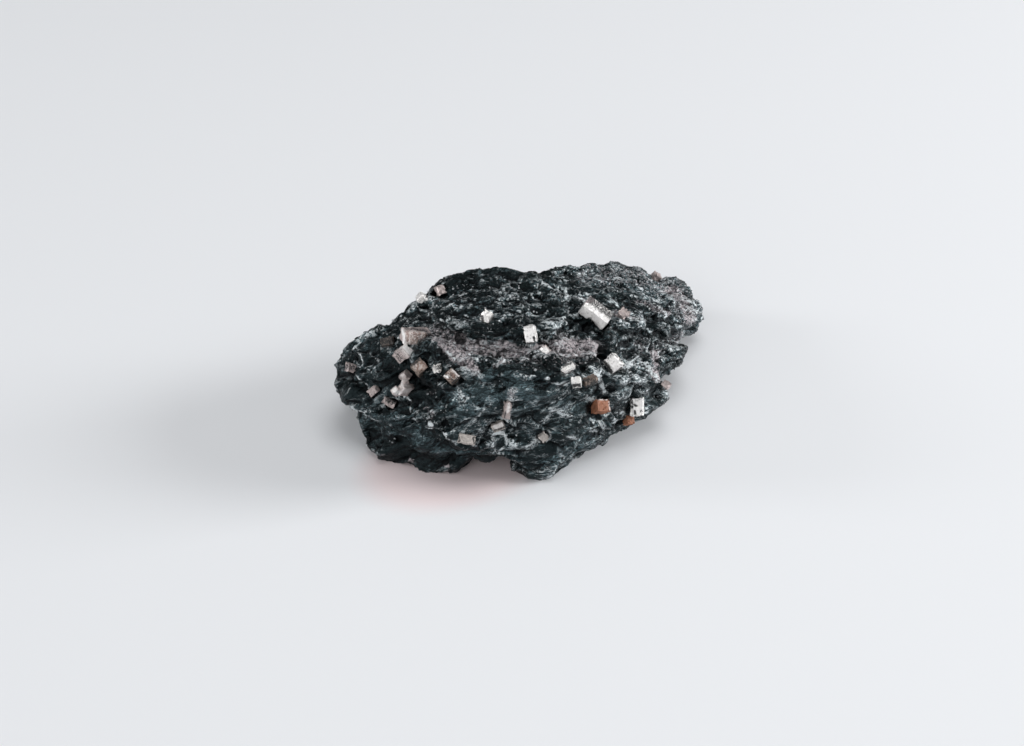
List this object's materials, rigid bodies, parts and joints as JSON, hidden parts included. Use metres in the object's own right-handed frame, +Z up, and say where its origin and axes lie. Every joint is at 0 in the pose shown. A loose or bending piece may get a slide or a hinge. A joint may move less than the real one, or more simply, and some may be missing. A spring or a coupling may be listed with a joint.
{
  "type": "black schist stone with pyrite crystals",
  "caption": "Dark layered schist hand specimen with small pyrite crystals seated in it, resting on low feet.",
  "frame": {"origin": "bottom centre of the stone's bounding box, on the plane that it rests on", "axes": "+X along the stone towards its low, thin end, +Y towards its back, +Z up"},
  "size_m": [0.0932, 0.0536, 0.0353],
  "materials": {
    "schist": "dark green-black layered stone, satin on the layers",
    "silver": "bright pyrite faces, finely striated",
    "mauve": "tarnished pyrite, mauve-grey, semi-metallic",
    "brown": "brown tarnished pyrite, satin",
    "tan": "dull pale tan crystal faces",
    "rust": "pyrite altered to orange-brown iron oxide, dull"
  },
  "bodies": {
    "root": {"host_rock": "schist", "crystal_back_large": "silver", "crystal_back_lobe": "silver", "crystal_back_low": "tan", "crystal_back_nose": "mauve", "crystal_back_rust": "rust", "crystal_back_top": "silver", "crystal_back_twin": "mauve", "crystal_brink_brown": "brown", "crystal_brink_grey": "silver", "crystal_brink_white": "silver", "crystal_crest": "silver", "crystal_edge_pink": "mauve", "crystal_face_flat": "tan", "crystal_face_pale": "tan", "crystal_face_streak": "mauve", "crystal_foot_flat": "tan", "crystal_ledge_flat": "mauve", "crystal_lobe_pale": "mauve", "crystal_lobe_rim": "mauve", "crystal_nose_brown": "brown", "crystal_nose_chip_high": "brown", "crystal_nose_chip_low": "mauve", "crystal_nose_chip_right": "mauve", "crystal_nose_grain": "silver", "crystal_nose_grey": "mauve", "crystal_nose_pink": "mauve", "crystal_nose_slab": "mauve", "crystal_nose_tip": "mauve", "crystal_nose_top": "mauve", "crystal_rim_bright": "silver", "crystal_rim_mauve": "mauve", "crystal_rust_large": "rust", "crystal_rust_small": "rust", "crystal_shoulder": "brown", "crystal_slab": "silver", "crystal_slab_grain": "silver", "crystal_valley": "silver", "crystal_white": "silver"}
  },
  "joints": []
}
